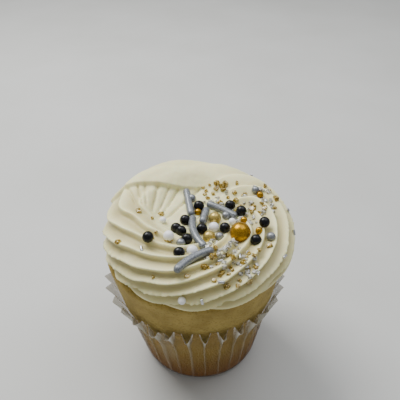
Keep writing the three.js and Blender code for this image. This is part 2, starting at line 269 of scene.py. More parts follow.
def ramp(tree: bpy.types.NodeTree, source: bpy.types.NodeSocket,
         stops: Sequence[tuple[float, Colour]]) -> bpy.types.NodeSocket:
    """Add a colour ramp.

    Args:
        tree: The material's node tree.
        source: The socket that places a colour on the ramp.
        stops: Places from 0 to 1 with their colours.

    Returns:
        The ramp's colour socket.
    """
    node = add_node(tree, "ShaderNodeValToRGB", links={"Fac": source})
    band = node.color_ramp
    while len(band.elements) < len(stops):
        band.elements.new(0.5)
    for element, (place, colour) in zip(band.elements, stops):
        element.position = place
        element.color = colour
    return node.outputs["Color"]


# Finishes

@dataclass(frozen=True)
class Buttercream:
    """Piped vanilla buttercream: whipped fat and sugar, set with a dull satin skin."""

    crest: str = "#F9F4BE"
    # The groove colour is painted shade: darker and warmer than the crest colour, laid into the grooves
    groove: str = "#CABF8A"
    smear_share: float = 0.3
    smear_mm: float = 6.0
    grain_mm: float = 0.35

    def material(self) -> bpy.types.Material:
        """Ivory, with painted shade that makes the grooves darker and warmer, and fat-soft light under a fine
        grain.

        Returns:
            The finished material.
        """
        material, tree, shader = new_material("Piped vanilla buttercream")
        place = add_node(tree, "ShaderNodeTexCoord").outputs["Object"]
        # Painted shade: how deep a place lies below its crests, plus random smears, moves its colour from the
        # crest colour towards the darker groove colour
        depth = add_node(tree, "ShaderNodeAttribute", {"attribute_name": "hollow"}).outputs["Fac"]
        smear = add_node(tree, "ShaderNodeTexNoise", {"Scale": 1 / (self.smear_mm * MM), "Detail": 3.0},
                         {"Vector": place})
        shade = add_node(tree, "ShaderNodeMath", {"operation": "MULTIPLY_ADD", 1: self.smear_share}, {
            0: smear.outputs["Fac"], 2: depth})
        colour = ramp(tree, shade.outputs[0], [(0.1, linear(self.crest)), (1.05, linear(self.groove))])
        tree.links.new(colour, shader.inputs["Base Color"])
        grain = add_node(tree, "ShaderNodeTexNoise", {"Scale": 1 / (self.grain_mm * MM), "Detail": 4.0},
                         {"Vector": place})
        bump = add_node(tree, "ShaderNodeBump", {"Strength": 0.25, "Distance": 0.05 * MM},
                        {"Height": grain.outputs["Fac"]})
        tree.links.new(bump.outputs[0], shader.inputs["Normal"])
        rough = add_node(tree, "ShaderNodeMapRange", {"To Min": 0.42, "To Max": 0.6},
                         {"Value": smear.outputs["Fac"]})
        tree.links.new(rough.outputs[0], shader.inputs["Roughness"])
        shader.inputs["IOR"].default_value = 1.46
        shader.inputs["Specular IOR Level"].default_value = 0.4
        shader.inputs["Subsurface Weight"].default_value = 0.25
        shader.inputs["Subsurface Radius"].default_value = (1.0, 0.7, 0.35)
        shader.inputs["Subsurface Scale"].default_value = 1.8 * MM
        return material


@dataclass(frozen=True)
class SpongeCrumb:
    """Baked vanilla sponge: an open matt crumb, browned where it met the tin."""

    crumb: str = "#AE964F"
    # The shade colour is painted shade in the pores, and also the darker tone of random patches
    shade: str = "#8C7432"
    crust: str = "#8F6430"
    crust_start: float = 3.0
    crust_end: float = 20.0
    pore_mm: float = 0.9
    patch_mm: float = 7.0

    def material(self) -> bpy.types.Material:
        """Straw yellow with painted shade in the pores, turning caramel towards the foot.

        Returns:
            The finished material.
        """
        material, tree, shader = new_material("Baked vanilla sponge")
        place = add_node(tree, "ShaderNodeTexCoord").outputs["Object"]
        height = add_node(tree, "ShaderNodeSeparateXYZ", links={0: place}).outputs["Z"]
        pores = add_node(tree, "ShaderNodeTexVoronoi", {"Scale": 1 / (self.pore_mm * MM)}, {"Vector": place})
        patch = add_node(tree, "ShaderNodeTexNoise", {"Scale": 1 / (self.patch_mm * MM), "Detail": 5.0},
                         {"Vector": place})
        # Painted shade: the pores' cells darken the crumb, as do random patches of real tone
        dots = add_node(tree, "ShaderNodeMapRange",
                        {"From Min": 0.05, "From Max": 0.45, "To Min": 0.25, "To Max": 1.0},
                        {"Value": pores.outputs["Distance"]})
        tone = add_node(tree, "ShaderNodeMath", {"operation": "MULTIPLY"}, {
            0: dots.outputs[0], 1: patch.outputs["Fac"]})
        crumb = ramp(tree, tone.outputs[0], [(0.15, linear(self.shade)), (0.6, linear(self.crumb))])
        baked = add_node(tree, "ShaderNodeMapRange",
                         {"From Min": self.crust_end * MM, "From Max": self.crust_start * MM},
                         {"Value": height})
        colour = add_node(tree, "ShaderNodeMix", {"data_type": "RGBA", MIX_B: linear(self.crust)}, {
            MIX_SHARE: baked.outputs[0], MIX_A: crumb})
        tree.links.new(colour.outputs[MIX_RESULT], shader.inputs["Base Color"])
        bump = add_node(tree, "ShaderNodeBump", {"Strength": 0.6, "Distance": 0.25 * MM},
                        {"Height": pores.outputs["Distance"]})
        tree.links.new(bump.outputs[0], shader.inputs["Normal"])
        shader.inputs["Roughness"].default_value = 0.85
        shader.inputs["Subsurface Weight"].default_value = 0.15
        shader.inputs["Subsurface Radius"].default_value = (1.0, 0.6, 0.25)
        shader.inputs["Subsurface Scale"].default_value = 1.5 * MM
        return material


@dataclass(frozen=True)
class GreaseproofPaper:
    """Thin white greaseproof paper: cloudy where dry, clear and stained where fat has soaked in."""

    dry: str = "#C2BEAC"
    sharp: str = "#FAF8F2"
    soaked: str = "#A5803A"
    foot: str = "#80502A"
    dry_alpha: float = 0.46
    soaked_alpha: float = 0.22
    sharp_alpha: float = 0.5
    stain_start: float = 6.0
    stain_end: float = 24.0
    stain_climb: float = 8.0
    stain_mm: float = 4.0
    fibre_mm: float = 0.5

    def material(self) -> bpy.types.Material:
        """Milky at the free rim and the folds, tan where it clings, caramel at the foot.

        Returns:
            The finished material.
        """
        material, tree, shader = new_material("Greaseproof baking paper")
        place = add_node(tree, "ShaderNodeTexCoord").outputs["Object"]
        height = add_node(tree, "ShaderNodeSeparateXYZ", links={0: place}).outputs["Z"]
        free = add_node(tree, "ShaderNodeAttribute", {"attribute_name": "free"}).outputs["Fac"]
        cloud = add_node(tree, "ShaderNodeTexNoise", {"Scale": 1 / (self.stain_mm * MM), "Detail": 4.0},
                         {"Vector": place})
        climb = add_node(tree, "ShaderNodeMath", {"operation": "MULTIPLY_ADD", 1: self.stain_climb * MM}, {
            0: cloud.outputs["Fac"], 2: height})
        baked = add_node(tree, "ShaderNodeMapRange",
                         {"From Min": self.stain_start * MM, "From Max": self.stain_end * MM},
                         {"Value": climb.outputs[0]})
        stain = add_node(tree, "ShaderNodeMix", {
            "data_type": "RGBA", MIX_A: linear(self.foot), MIX_B: linear(self.soaked)}, {
            MIX_SHARE: baked.outputs[0]})
        clouded = add_node(tree, "ShaderNodeMix", {"data_type": "RGBA", MIX_B: linear(self.dry)}, {
            MIX_SHARE: free, MIX_A: stain.outputs[MIX_RESULT]})
        crease = add_node(tree, "ShaderNodeAttribute", {"attribute_name": "crease"}).outputs["Fac"]
        colour = add_node(tree, "ShaderNodeMix", {"data_type": "RGBA", MIX_B: linear(self.sharp)}, {
            MIX_SHARE: crease, MIX_A: clouded.outputs[MIX_RESULT]})
        tree.links.new(colour.outputs[MIX_RESULT], shader.inputs["Base Color"])
        alpha = add_node(tree, "ShaderNodeMapRange", {"To Min": self.soaked_alpha, "To Max": self.dry_alpha},
                         {"Value": free})
        whiter = add_node(tree, "ShaderNodeMath", {"operation": "MULTIPLY_ADD", 1: self.sharp_alpha}, {
            0: crease, 2: alpha.outputs[0]})
        tree.links.new(whiter.outputs[0], shader.inputs["Alpha"])
        fibre = add_node(tree, "ShaderNodeTexNoise", {"Scale": 1 / (self.fibre_mm * MM), "Detail": 6.0},
                         {"Vector": place})
        bump = add_node(tree, "ShaderNodeBump", {"Strength": 0.35, "Distance": 0.06 * MM},
                        {"Height": fibre.outputs["Fac"]})
        tree.links.new(bump.outputs[0], shader.inputs["Normal"])
        shader.inputs["Roughness"].default_value = 0.42
        shader.inputs["IOR"].default_value = 1.5
        return material


@dataclass(frozen=True)
class SugarCoat:
    """A boiled sugar sprinkle with a polished or pearl-dusted shell."""

    name: str
    base: str
    dust: str
    metallic: float
    roughness: float
    coat: float = 0.0
    shine: float = 0.5
    speck_mm: float = 0.25

    def material(self) -> bpy.types.Material:
        """A shell colour broken by fine dust, its shine uneven.

        Returns:
            The finished material.
        """
        material, tree, shader = new_material(self.name)
        place = add_node(tree, "ShaderNodeTexCoord").outputs["Object"]
        speck = add_node(tree, "ShaderNodeTexNoise", {"Scale": 1 / (self.speck_mm * MM), "Detail": 3.0},
                         {"Vector": place})
        colour = ramp(tree, speck.outputs["Fac"], [(0.35, linear(self.base)), (0.7, linear(self.dust))])
        tree.links.new(colour, shader.inputs["Base Color"])
        rough = add_node(tree, "ShaderNodeMapRange",
                         {"To Min": self.roughness - 0.08, "To Max": self.roughness + 0.12},
                         {"Value": speck.outputs["Fac"]})
        tree.links.new(rough.outputs[0], shader.inputs["Roughness"])
        bump = add_node(tree, "ShaderNodeBump", {"Strength": 0.2, "Distance": 0.03 * MM},
                        {"Height": speck.outputs["Fac"]})
        tree.links.new(bump.outputs[0], shader.inputs["Normal"])
        shader.inputs["Metallic"].default_value = self.metallic
        shader.inputs["Specular IOR Level"].default_value = self.shine
        shader.inputs["Coat Weight"].default_value = self.coat
        return material


@dataclass(frozen=True)
class SugarGlass:
    """Coarse sugar crystals: clear flat-faced grains, tinted or plain."""

    name: str
    # The first and third colours are painted light and painted shade: bright and dark patches, facet_mm
    # across, standing in for facets that catch or miss the light
    painted_glint: str
    body: str
    shaded_facet: str
    transmission: float
    roughness: float = 0.08
    facet_mm: float = 0.7

    def material(self) -> bpy.types.Material:
        """Painted glints and painted shade in patches over the body, standing in for lit and shaded facets of
        cut sugar.

        Returns:
            The finished material.
        """
        material, tree, shader = new_material(self.name)
        place = add_node(tree, "ShaderNodeTexCoord").outputs["Object"]
        # Noise that places the painted glints and painted shade in patches over the crystal's body colour
        cloud = add_node(tree, "ShaderNodeTexNoise", {"Scale": 1 / (self.facet_mm * MM), "Detail": 1.0},
                         {"Vector": place})
        colour = ramp(tree, cloud.outputs["Fac"], [
            (0.36, linear(self.shaded_facet)), (0.5, linear(self.body)), (0.62, linear(self.painted_glint))])
        tree.links.new(colour, shader.inputs["Base Color"])
        shader.inputs["Roughness"].default_value = self.roughness
        shader.inputs["IOR"].default_value = 1.54
        shader.inputs["Transmission Weight"].default_value = self.transmission
        return material


@dataclass(frozen=True)
class PaintedBoard:
    """A pale painted table top."""

    paint: str = "#CACAC6"
    shade: str = "#C3C3BE"

    def material(self) -> bpy.types.Material:
        """Even and matt, with a faint cloudiness.

        Returns:
            The finished material.
        """
        material, tree, shader = new_material("Pale painted board")
        place = add_node(tree, "ShaderNodeTexCoord").outputs["Object"]
        cloud = add_node(tree, "ShaderNodeTexNoise", {"Scale": 12.0, "Detail": 3.0}, {"Vector": place})
        colour = ramp(tree, cloud.outputs["Fac"], [(0.3, linear(self.shade)), (0.7, linear(self.paint))])
        tree.links.new(colour, shader.inputs["Base Color"])
        shader.inputs["Roughness"].default_value = 0.6
        return material


# The icing

@dataclass
class Swirl:
    """The piped ring of buttercream, with the sizes of the solid and finer relief on top."""

    ring_radius: float = 24.0
    ring_height: float = 59.2
    ring_reach: float = 9.9
    ring_trim: float = 0.95
    trim_angle: float = 15.0
    ring_rise: float = 10.5
    ring_lift: float = 2.9
    lift_angle: float = 125.0
    underside_height: float = 53.35
    underside_roundness: float = 4.5
    dip_depth: float = 3.2
    dip_start: float = 3.0
    dip_width: float = 9.0
    section_start: float = -86.0
    ridge_height: float = 1.9
    ridge_softness: float = 0.09
    ridge_valley: float = 0.76
    ridge_pitch: float = 3.4
    ridge_spread: float = 0.08
    ridge_density: float = 0.737
    ridge_bunching: float = 0.397
    bunching_angle: float = 276.0
    ridges_a_turn: int = 9
    tucked_length: float = 8.5
    ridge_start: float = 3.0
    fade_start: float = 20.0
    fade_length: float = 10.0
    fade_depth: float = 0.8
    side_strength: float = 0.65
    side_length: float = 9.0
    side_fade: float = 6.0
    sweep_edge_y: float = 9.3
    sweep_edge_x: float = -27.0
    sweep_edge_slope: float = 0.17
    sweep_rise: float = 1.45
    sweep_edge_width: float = 1.1
    sweep_end_x: float = 6.0
    sweep_fade_length: float = 18.0
    sweep_foot: float = 3.0
    sweep_foot_length: float = 7.0
    fan_x: float = -17.9
    fan_y: float = -11.6
    fan_start: float = 7.5
    fan_growth: float = 6.0
    fan_from: float = 47.0
    fan_to: float = 121.0
    fan_margin: float = 9.0
    fan_finger: float = 9.6
    fan_depth: float = 1.3
    fan_unevenness: float = 0.2
    fan_sharpness: float = 2.6
    fan_wave: float = 2.1
    fan_wave_start: float = 0.6
    fan_deepness: float = 0.85
    fan_deep_wave: float = 3.3
    steps: int = 560
    side_rows: int = 112
    dip_rows: int = 56
    dip_end: float = 0.985
    section_steps: int = 24
    ruffle_height: float = 0.28
    ruffle_length: float = 2.3
    ruffle_end: float = 6.0
    ruffle_fade: float = 6.0
    ruffle_drift: float = 9.0
    ruffle_radius: float = 34.8
    tear: float = 1.6
    tear_limit: float = 1.2
    showing_start: float = 1.0
    showing_length: float = 4.0
    slow_size: float = 9.0
    slow_height: float = 0.2
    quick_size: float = 2.2
    quick_height: float = 0.1
    fine_size: float = 0.8
    fine_height: float = 0.04
    ridge_wander: float = 0.14

    RISEN = ((0, 1.72), (22, 3.06), (45, 4.21), (68, 5.06), (90, 6.01), (115, 7.01), (142, 7.54), (180, 7.98),
             (270, 9.7), (360, 10.72))
    STRENGTH = ((0, 1.0), (30, 0.75), (60, 0.35), (100, 0.2), (150, 0.35), (185, 0.9), (215, 1.0),
                (320, 1.05), (360, 1.0))
    NUDGE = 1e-3

    def reach(self, angle: np.ndarray) -> np.ndarray:
        """Reach of the ring's side at each angle, a little less on the right."""
        return self.ring_reach - self.ring_trim * np.maximum(0.0, np.cos(angle - np.radians(self.trim_angle)))

    def smooth_form(self, angle: np.ndarray, travel: np.ndarray) -> tuple[np.ndarray, np.ndarray]:
        """Give the ring's smooth section before its ridges.

        Args:
            angle: Turn round the axis, in radians.
            travel: 0 at the underside, 1 on the crown, 2 at the middle of the dip.

        Returns:
            Radius and height of each point.
        """
        lift = self.ring_lift * np.cos(angle - np.radians(self.lift_angle))
        turn = np.radians(self.section_start + (90 - self.section_start) * np.minimum(travel, 1.0))
        under = turn < 0
        power = np.where(under, 2 / self.underside_roundness, 1.0)
        rise = np.where(under, self.ring_height - self.underside_height, self.ring_rise + lift)
        radius = self.ring_radius + self.reach(angle) * np.abs(np.cos(turn)) ** power
        height = self.ring_height + rise * np.sign(turn) * np.abs(np.sin(turn)) ** power
        inward = np.maximum(travel, 1.0) - 1.0
        dip_radius = self.ring_radius * (1.0 - inward)
        dip = self.dip_depth * eased((self.ring_radius - dip_radius - self.dip_start) / self.dip_width)
        dip_height = self.ring_height + self.ring_rise + lift * (1.0 - inward) - dip
        return np.where(travel > 1, dip_radius, radius), np.where(travel > 1, dip_height, height)

    def section_length(self, angle: np.ndarray, travel: np.ndarray) -> np.ndarray:
        """Measure each section from its lower edge up to a travel.

        Args:
            angle: Turn round the axis, in radians.
            travel: Place along the section.

        Returns:
            The length in millimetres, below 0 where it is tucked under the edge.
        """
        shares = np.linspace(0.0, 1.0, self.section_steps + 1).reshape(-1, *([1] * np.ndim(travel)))
        radius, height = self.smooth_form(angle, shares * travel)
        return np.hypot(np.diff(radius, axis=0), np.diff(height, axis=0)).sum(axis=0) - self.tucked_length

    def ridges_risen(self, angle: np.ndarray) -> np.ndarray:
        """Count the ridges that have left the lower edge, on round the swirl without a break.

        Args:
            angle: Turn round the axis, in radians.

        Returns:
            The count at each angle.
        """
        degrees = np.degrees(angle) - 180.0
        turns = np.floor(degrees / 360.0)
        return through_knots(self.RISEN, degrees - 360.0 * turns) + self.ridges_a_turn * turns

    def ridge_phase(self, angle: np.ndarray, length: np.ndarray) -> np.ndarray:
        """Count ridges up a section.

        Args:
            angle: Turn round the axis, in radians.
            length: Length up the section from the lower edge.

        Returns:
            The count at each point, a whole number on a crest.
        """
        density = self.ridge_density + self.ridge_bunching * np.cos(angle - np.radians(self.bunching_angle))
        inner = np.maximum(self.ridge_spread * length / self.ridge_pitch, -0.9)
        return density * np.log1p(inner) / self.ridge_spread - self.ridges_risen(angle)

    def ridge_relief(self, angle: np.ndarray, length: np.ndarray,
                     wander: np.ndarray | float) -> tuple[np.ndarray, np.ndarray]:
        """Give the star-tip ridges.

        Args:
            angle: Turn round the axis, in radians.
            length: Length up the section from the lower edge.
            wander: Bend of the ridge lines, in ridges.

        Returns:
            Height of the ridges, and how far each place lies below the crests beside it.
        """
        phase = self.ridge_phase(angle, length) + wander
        place = phase - np.floor(phase)
        above = 0.5 * place / self.ridge_valley
        below = 0.5 + 0.5 * (place - self.ridge_valley) / (1.0 - self.ridge_valley)
        swing = np.where(place < self.ridge_valley, above, below)
        valley = np.sqrt(np.sin(np.pi * swing) ** 2 + self.ridge_softness**2)
        strength = through_knots(self.STRENGTH, np.degrees(angle) % 360.0)
        side = self.side_strength * (1.0 - eased((length - self.side_length) / self.side_fade))
        strength = np.maximum(strength, side)
        start = eased((length + self.ridge_start) / self.ridge_start)
        fade = 1.0 - self.fade_depth * eased((length - self.fade_start) / self.fade_length)
        full = self.ridge_height * strength * start * fade
        relief = full * (1.0 - valley) / (1.0 - self.ridge_softness)
        return relief, full - relief

    def sweep_and_fan(self, x: np.ndarray, y: np.ndarray,
                      length: np.ndarray) -> tuple[np.ndarray, np.ndarray]:
        """Give the last sweep's edge and the grooves that come out from under it.

        Args:
            x: Places across, in millimetres.
            y: Places towards the back, in millimetres.
            length: Length up the section from the lower edge.

        Returns:
            Rise of the sweep, and depth of the grooves.
        """
        edge = self.sweep_edge_y + self.sweep_edge_slope * (x - self.sweep_edge_x)
        over = eased((y - edge) / self.sweep_edge_width + 0.5)
        foot = eased((length - self.sweep_foot) / self.sweep_foot_length)
        reach = eased((self.sweep_end_x - x) / self.sweep_fade_length) * foot
        away = np.hypot(x - self.fan_x, y - self.fan_y)
        turn = np.degrees(np.arctan2(y - self.fan_y, x - self.fan_x))
        across = eased((turn - self.fan_from) / self.fan_margin)
        across = across * eased((self.fan_to - turn) / self.fan_margin)
        along = eased((away - self.fan_start) / self.fan_growth) * (1.0 - over)
        finger = (turn - self.fan_from) / self.fan_finger
        uneven = finger + self.fan_unevenness * np.sin(self.fan_wave * finger + self.fan_wave_start)
        deepness = self.fan_deepness + self.fan_unevenness * np.sin(self.fan_deep_wave * finger)
        groove = (1.0 - np.abs(np.sin(np.pi * uneven))) ** self.fan_sharpness * deepness
        return self.sweep_rise * reach * over, self.fan_depth * across * along * groove

    def surface(self, angle: np.ndarray, travel: np.ndarray, lift: np.ndarray | float = 0.0,
                wander: np.ndarray | float = 0.0) -> tuple[np.ndarray, np.ndarray, np.ndarray]:
        """Give points of the iced surface.

        Args:
            angle: Turn round the axis, in radians.
            travel: Place along the section.
            lift: How far the points stand out from the surface.
            wander: Bend of the ridge lines, in ridges.

        Returns:
            The points in millimetres, and at each the relief and the depth below its crests.
        """
        radius, height = self.smooth_form(angle, travel)
        ahead_radius, ahead_height = self.smooth_form(angle, travel + self.NUDGE)
        run = np.hypot(ahead_radius - radius, ahead_height - height)
        outward = (ahead_height - height) / run
        upward = (radius - ahead_radius) / run
        length = self.section_length(angle, travel)
        ridge, hollow = self.ridge_relief(angle, length, wander)
        rise, groove = self.sweep_and_fan(radius * np.cos(angle), radius * np.sin(angle), length)
        relief = ridge + rise - groove
        out = relief + lift
        wide = radius + outward * out
        points = np.stack([wide * np.cos(angle), wide * np.sin(angle), height + upward * out], axis=-1)
        # The depth passed on adds half the fan grooves' depth, for the painted shade that the finish lays
        # into grooves
        return points, relief, hollow + 0.5 * groove

    def seat(self, spot: Spot, lift: float) -> Vector:
        """Find the place on the icing above a spot, set out from it by a lift.

        Args:
            spot: x and y in millimetres.
            lift: How far the place stands out from the surface.

        Returns:
            The place in millimetres.
        """
        radius = math.hypot(*spot)
        angle = math.atan2(spot[1], spot[0])
        if radius <= self.ring_radius:
            travel = 2.0 - radius / self.ring_radius
        else:
            turn = math.degrees(math.acos(min(1.0, (radius - self.ring_radius) / self.reach(angle))))
            travel = (turn - self.section_start) / (90 - self.section_start)
        lie = np.array([angle]), np.array([travel])
        uneven, wander = self.unevenness(*lie)
        points, _, _ = self.surface(*lie, lift + uneven, wander)
        return Vector(points[0])

    def build(self) -> bpy.types.Object:
        """Make the icing's closed skin with its fine relief.

        Returns:
            The icing, at the origin.
        """
        side = np.linspace(0.0, 1.0, self.side_rows + 1)
        dip = 1.0 + self.dip_end * np.arange(1, self.dip_rows + 1) / self.dip_rows
        turns = np.linspace(0.0, 2 * np.pi, self.steps, endpoint=False)
        travel, angle = np.meshgrid(np.concatenate([side, dip]), turns, indexing="ij")
        points, _, hollow = self.surface(angle, travel, *self.unevenness(angle, travel))
        middle = float(points[-1, :, 2].mean())
        piece = ringed_piece("icing_swirl", points, (self.underside_height, middle))
        # The depth below the crests, which the buttercream finish reads to paint shade into the grooves
        store(piece, "hollow", np.append(hollow.ravel() / self.ridge_height, [0.0, 0.0]))
        return piece

    def unevenness(self, angle: np.ndarray, travel: np.ndarray) -> tuple[np.ndarray, np.ndarray]:
        """Give what the hand left uneven in the swirl.

        Args:
            angle: Turn round the axis, in radians.
            travel: Place along the section.

        Returns:
            How far each point stands out of line, and how far the ridge lines bend there.
        """
        length = self.section_length(angle, travel)
        coarse, relief, _ = self.surface(angle, travel)
        flat = coarse.reshape(-1, 3)
        slow = self.drift(flat, self.slow_size).reshape(angle.shape)
        quick = self.drift(flat + 50.0, self.quick_size).reshape(angle.shape)
        fine = self.drift(flat + 90.0, self.fine_size).reshape(angle.shape)
        showing = eased((length + self.showing_start) / self.showing_length)
        lip = np.clip(relief / self.ridge_height, 0.0, 1.0) ** 2
        lip = lip * (1.0 - eased((length - self.ruffle_end) / self.ruffle_fade))
        torn = np.clip(0.5 + self.tear * quick, 0.0, self.tear_limit)
        waves = 2 * np.pi * angle * self.ruffle_radius / self.ruffle_length + self.ruffle_drift * slow
        ruffle = self.ruffle_height * np.sin(waves) * lip * torn
        uneven = self.slow_height * slow + self.quick_height * quick + self.fine_height * fine
        return showing * (uneven + ruffle), self.ridge_wander * slow

    @staticmethod
    def drift(points: np.ndarray, size: float) -> np.ndarray:
        """Read smooth noise of a given size, in millimetres, at each point."""
        return np.array([noise.noise(Vector(point)) for point in points / size])


# The sponge

@dataclass
class Sponge:
    """The baked cake, straight-sided out of its case and rounded at its shoulder."""

    foot_radius: float = 24.8
    lean: float = 0.165
    foot: float = 0.9
    corner: float = 3.0
    shoulder: float = 51.2
    top: float = 53.2
    edge: float = 1.8
    sway: float = 0.035
    bulge_size: float = 14.0
    bulge_height: float = 0.3
    crumb_size: float = 1.6
    crumb_depth: float = 0.12
    pore_size: float = 0.75
    pore_depth: float = 0.22
    pore_least: float = 0.15
    case_margin: float = 2.0
    steps: int = 420
    rows: int = 150

    def radius(self, height: np.ndarray) -> np.ndarray:
        """Give the radius of the side, rounded in at the foot and the shoulder.

        Args:
            height: Height of each point.

        Returns:
            The radius at each height.
        """
        low = np.clip(1.0 - (height - self.foot) / self.corner, 0.0, 1.0)
        high = np.clip((height - self.shoulder) / (self.top - self.shoulder), 0.0, 1.0)
        tuck = self.corner * (1.0 - np.sqrt(1.0 - low**2)) + self.edge * (1.0 - np.sqrt(1.0 - high**2))
        return self.foot_radius + self.lean * height - tuck

    def build(self, case: "PaperCase") -> bpy.types.Object:
        """Make the sponge with its crumb.

        Args:
            case: The case that it was baked in, whose folds it keeps clear of.

        Returns:
            The sponge, at the origin.
        """
        heights = np.linspace(self.foot, self.top, self.rows)
        turns = np.linspace(0.0, 2 * np.pi, self.steps, endpoint=False)
        height, angle = np.meshgrid(heights, turns, indexing="ij")
        radius = self.radius(height)
        inside = case.inner_radius(height, angle)
        limit = np.where(height < case.rim_height + self.case_margin, inside, np.inf)
        flat = np.stack([radius * np.cos(angle), radius * np.sin(angle), height], axis=-1).reshape(-1, 3)
        bulge = Swirl.drift(flat, self.bulge_size).reshape(angle.shape)
        crumb = Swirl.drift(flat + 30.0, self.crumb_size).reshape(angle.shape)
        pores = Swirl.drift(flat + 70.0, self.pore_size).reshape(angle.shape)
        holes = self.pore_depth * np.maximum(0.0, pores - self.pore_least)
        rough = self.bulge_height * bulge - self.crumb_depth * np.abs(crumb) - holes
        radius = np.minimum(radius + rough, limit)
        across = radius * np.cos(angle) - self.sway * height
        points = np.stack([across, radius * np.sin(angle), height], axis=-1)
        return ringed_piece("sponge_cake", points, (self.foot, self.top))


# The paper case

@dataclass
class PaperCase:
    """The pleated greaseproof case: folds pressed flat below and spread at the rim."""

    bottom_radius: float = 24.1
    corner: float = 2.8
    lean: float = 0.165
    cling_height: float = 22.0
    rim_height: float = 38.3
    rim_flare: float = 3.9
    flare_curve: float = 1.3
    sway: float = 0.035
    rim_sway: float = 0.6
    rim_tuck: float = 1.4
    rim_lift: float = 1.2
    pleats: int = 32
    first_fold: float = 5.625
    depth_low: float = 0.35
    depth_rim: float = 1.4
    depth_tuck: float = 0.4
    fold_width: float = 0.12
    fork_width: float = 0.29
    fork_start: float = 28.5
    notch: float = 1.2
    fork_notch: float = 3.0
    paper: float = 0.1
    clearance: float = 0.3
    fan_start: float = 14.0
    arm_width: float = 0.035
    arm_lift: float = 0.7
    crumpled_width: float = 2.2
    crumpled_drop: float = 2.2
    crease_size: float = 5.0
    crease_height: float = 0.2
    wrinkle_size: float = 1.7
    wrinkle_height: float = 0.08
    crumple_height: float = 0.5
    rough_start: float = 8.0
    fold_lean: float = 0.05
    fold_widths: tuple[float, float] = (0.75, 1.35)
    waver: float = 0.025
    waver_length: float = 5.0
    tuck_start: float = 0.6
    tuck_width: float = 0.3
    tip_spread: float = 0.3
    tip_rise: float = 0.4
    arm_reach: float = 0.25
    fold_dryness: float = 0.28
    wall_dryness: float = 0.27
    rim_dryness: float = 0.5
    side_dryness: float = 0.7
    dry_start: float = 27.0
    dry_length: float = 5.0
    steps_a_pleat: int = 24
    step_crowding: float = 1.5
    rows: int = 52
    seed: int = 7

    CRUMPLED = 21
    CORNER_SHARES = (0.0, 0.12, 0.3, 0.6, 1.0)

    def flare(self, height: np.ndarray) -> np.ndarray:
        """Share of the flared rim that lies below each height."""
        return np.clip((height - self.cling_height) / (self.rim_height - self.cling_height), 0.0, 1.0)

    def middle_radius(self, height: np.ndarray, angle: np.ndarray) -> np.ndarray:
        """Give the radius of the wall half-way between a pleat's crest and its trough.

        Args:
            height: Height of each point.
            angle: Turn round the axis, in radians.

        Returns:
            The radius at each point.
        """
        share = np.clip(1.0 - height / self.corner, 0.0, 1.0)
        flare = self.flare(height)
        front = np.maximum(0.0, -np.sin(angle))
        corner = self.corner * (1.0 - np.sqrt(1.0 - share**2))
        out = self.rim_flare * flare**self.flare_curve
        aside = flare * (self.rim_sway * np.cos(angle) + self.rim_tuck * front)
        return self.bottom_radius + self.lean * height - corner + out - aside

    def depth(self, height: np.ndarray, angle: np.ndarray) -> np.ndarray:
        """Give half of a pleat's depth.

        Args:
            height: Height of each point.
            angle: Turn round the axis, in radians.

        Returns:
            Half the depth at each point.
        """
        rim = self.depth_rim - self.depth_tuck * np.maximum(0.0, -np.sin(angle))
        low = self.depth_low * eased(height / self.fan_start)
        return low + (rim - self.depth_low) * self.flare(height)

    def inner_radius(self, height: np.ndarray, angle: np.ndarray) -> np.ndarray:
        """Radius that the sponge keeps within."""
        return self.middle_radius(height, angle) - self.depth(height, angle) - self.paper - self.clearance

    def fold(self, height: np.ndarray, away: np.ndarray, tucked: np.ndarray,
             wide: np.ndarray) -> tuple[np.ndarray, np.ndarray, np.ndarray]:
        """Give the folds: narrow bands below, which fork at the front rim and fan out at the sides.

        Args:
            height: Height of each point.
            away: Distance from the nearest fold's line, in pleats.
            tucked: 1 where the rim lies against the sponge, 0 where it stands free.
            wide: How wide each fold is, 1 for a usual one.

        Returns:
            0 between folds to 1 on them, 1 on the two arms of a fork, and the fork's share of the height.
        """
        fanning = eased((height - self.fan_start) / (self.rim_height - self.fan_start))
        forking = np.clip((height - self.fork_start) / (self.rim_height - self.fork_start), 0.0, 1.0)
        forking = forking**self.flare_curve
        low = self.fold_width * wide
        fan = low + (0.5 - low) * fanning
        fork = low + (self.fork_width - low) * forking
        width = fan + (fork - fan) * tucked
        edge = 0.65 + 0.35 * fanning * (1.0 - tucked)
        band = np.clip((width - away) / (edge * width), 0.0, 1.0)
        arms = np.exp(-((away - width) / self.arm_width) ** 2) * forking * tucked
        return band, arms, forking

    def grid(self) -> tuple[np.ndarray, np.ndarray, np.ndarray]:
        """Lay out the points of the wall, closer together on the folds' lines.

        Returns:
            Height, pleat number, and place across the pleat from -0.5 to 0.5.
        """
        low = np.array(self.CORNER_SHARES) * self.corner
        heights = np.concatenate([low, np.linspace(self.corner, self.rim_height, self.rows)[1:]])
        shares = np.arange(self.steps_a_pleat) * 2 / self.steps_a_pleat - 1.0
        spaced = 0.5 * np.sign(shares) * np.abs(shares) ** self.step_crowding
        pleat, offset = (grid.ravel() for grid in np.meshgrid(np.arange(self.pleats), spaced, indexing="ij"))
        height, pleat = np.meshgrid(heights, pleat, indexing="ij")
        return height, pleat, offset

    def thick_sheet(self, outer: np.ndarray, height: np.ndarray, radius: np.ndarray) -> np.ndarray:
        """Give the paper its thickness and the case its lean to one side.

        Args:
            outer: Points of the outer face.
            height: Height of each point before the rim's unevenness.
            radius: Radius of each point.

        Returns:
            Rings of points up the outer face and down the inner one.
        """
        scale = (radius - self.paper) / radius
        inner = outer.copy()
        inner[..., 0] *= scale
        inner[..., 1] *= scale
        inner[..., 2] = np.maximum(inner[..., 2], self.paper)
        for face in (outer, inner):
            face[..., 0] -= self.sway * height
        return np.concatenate([outer, inner[::-1]])

    def build(self) -> bpy.types.Object:
        """Make the case as one thin closed sheet.

        Returns:
            The case, at the origin.
        """
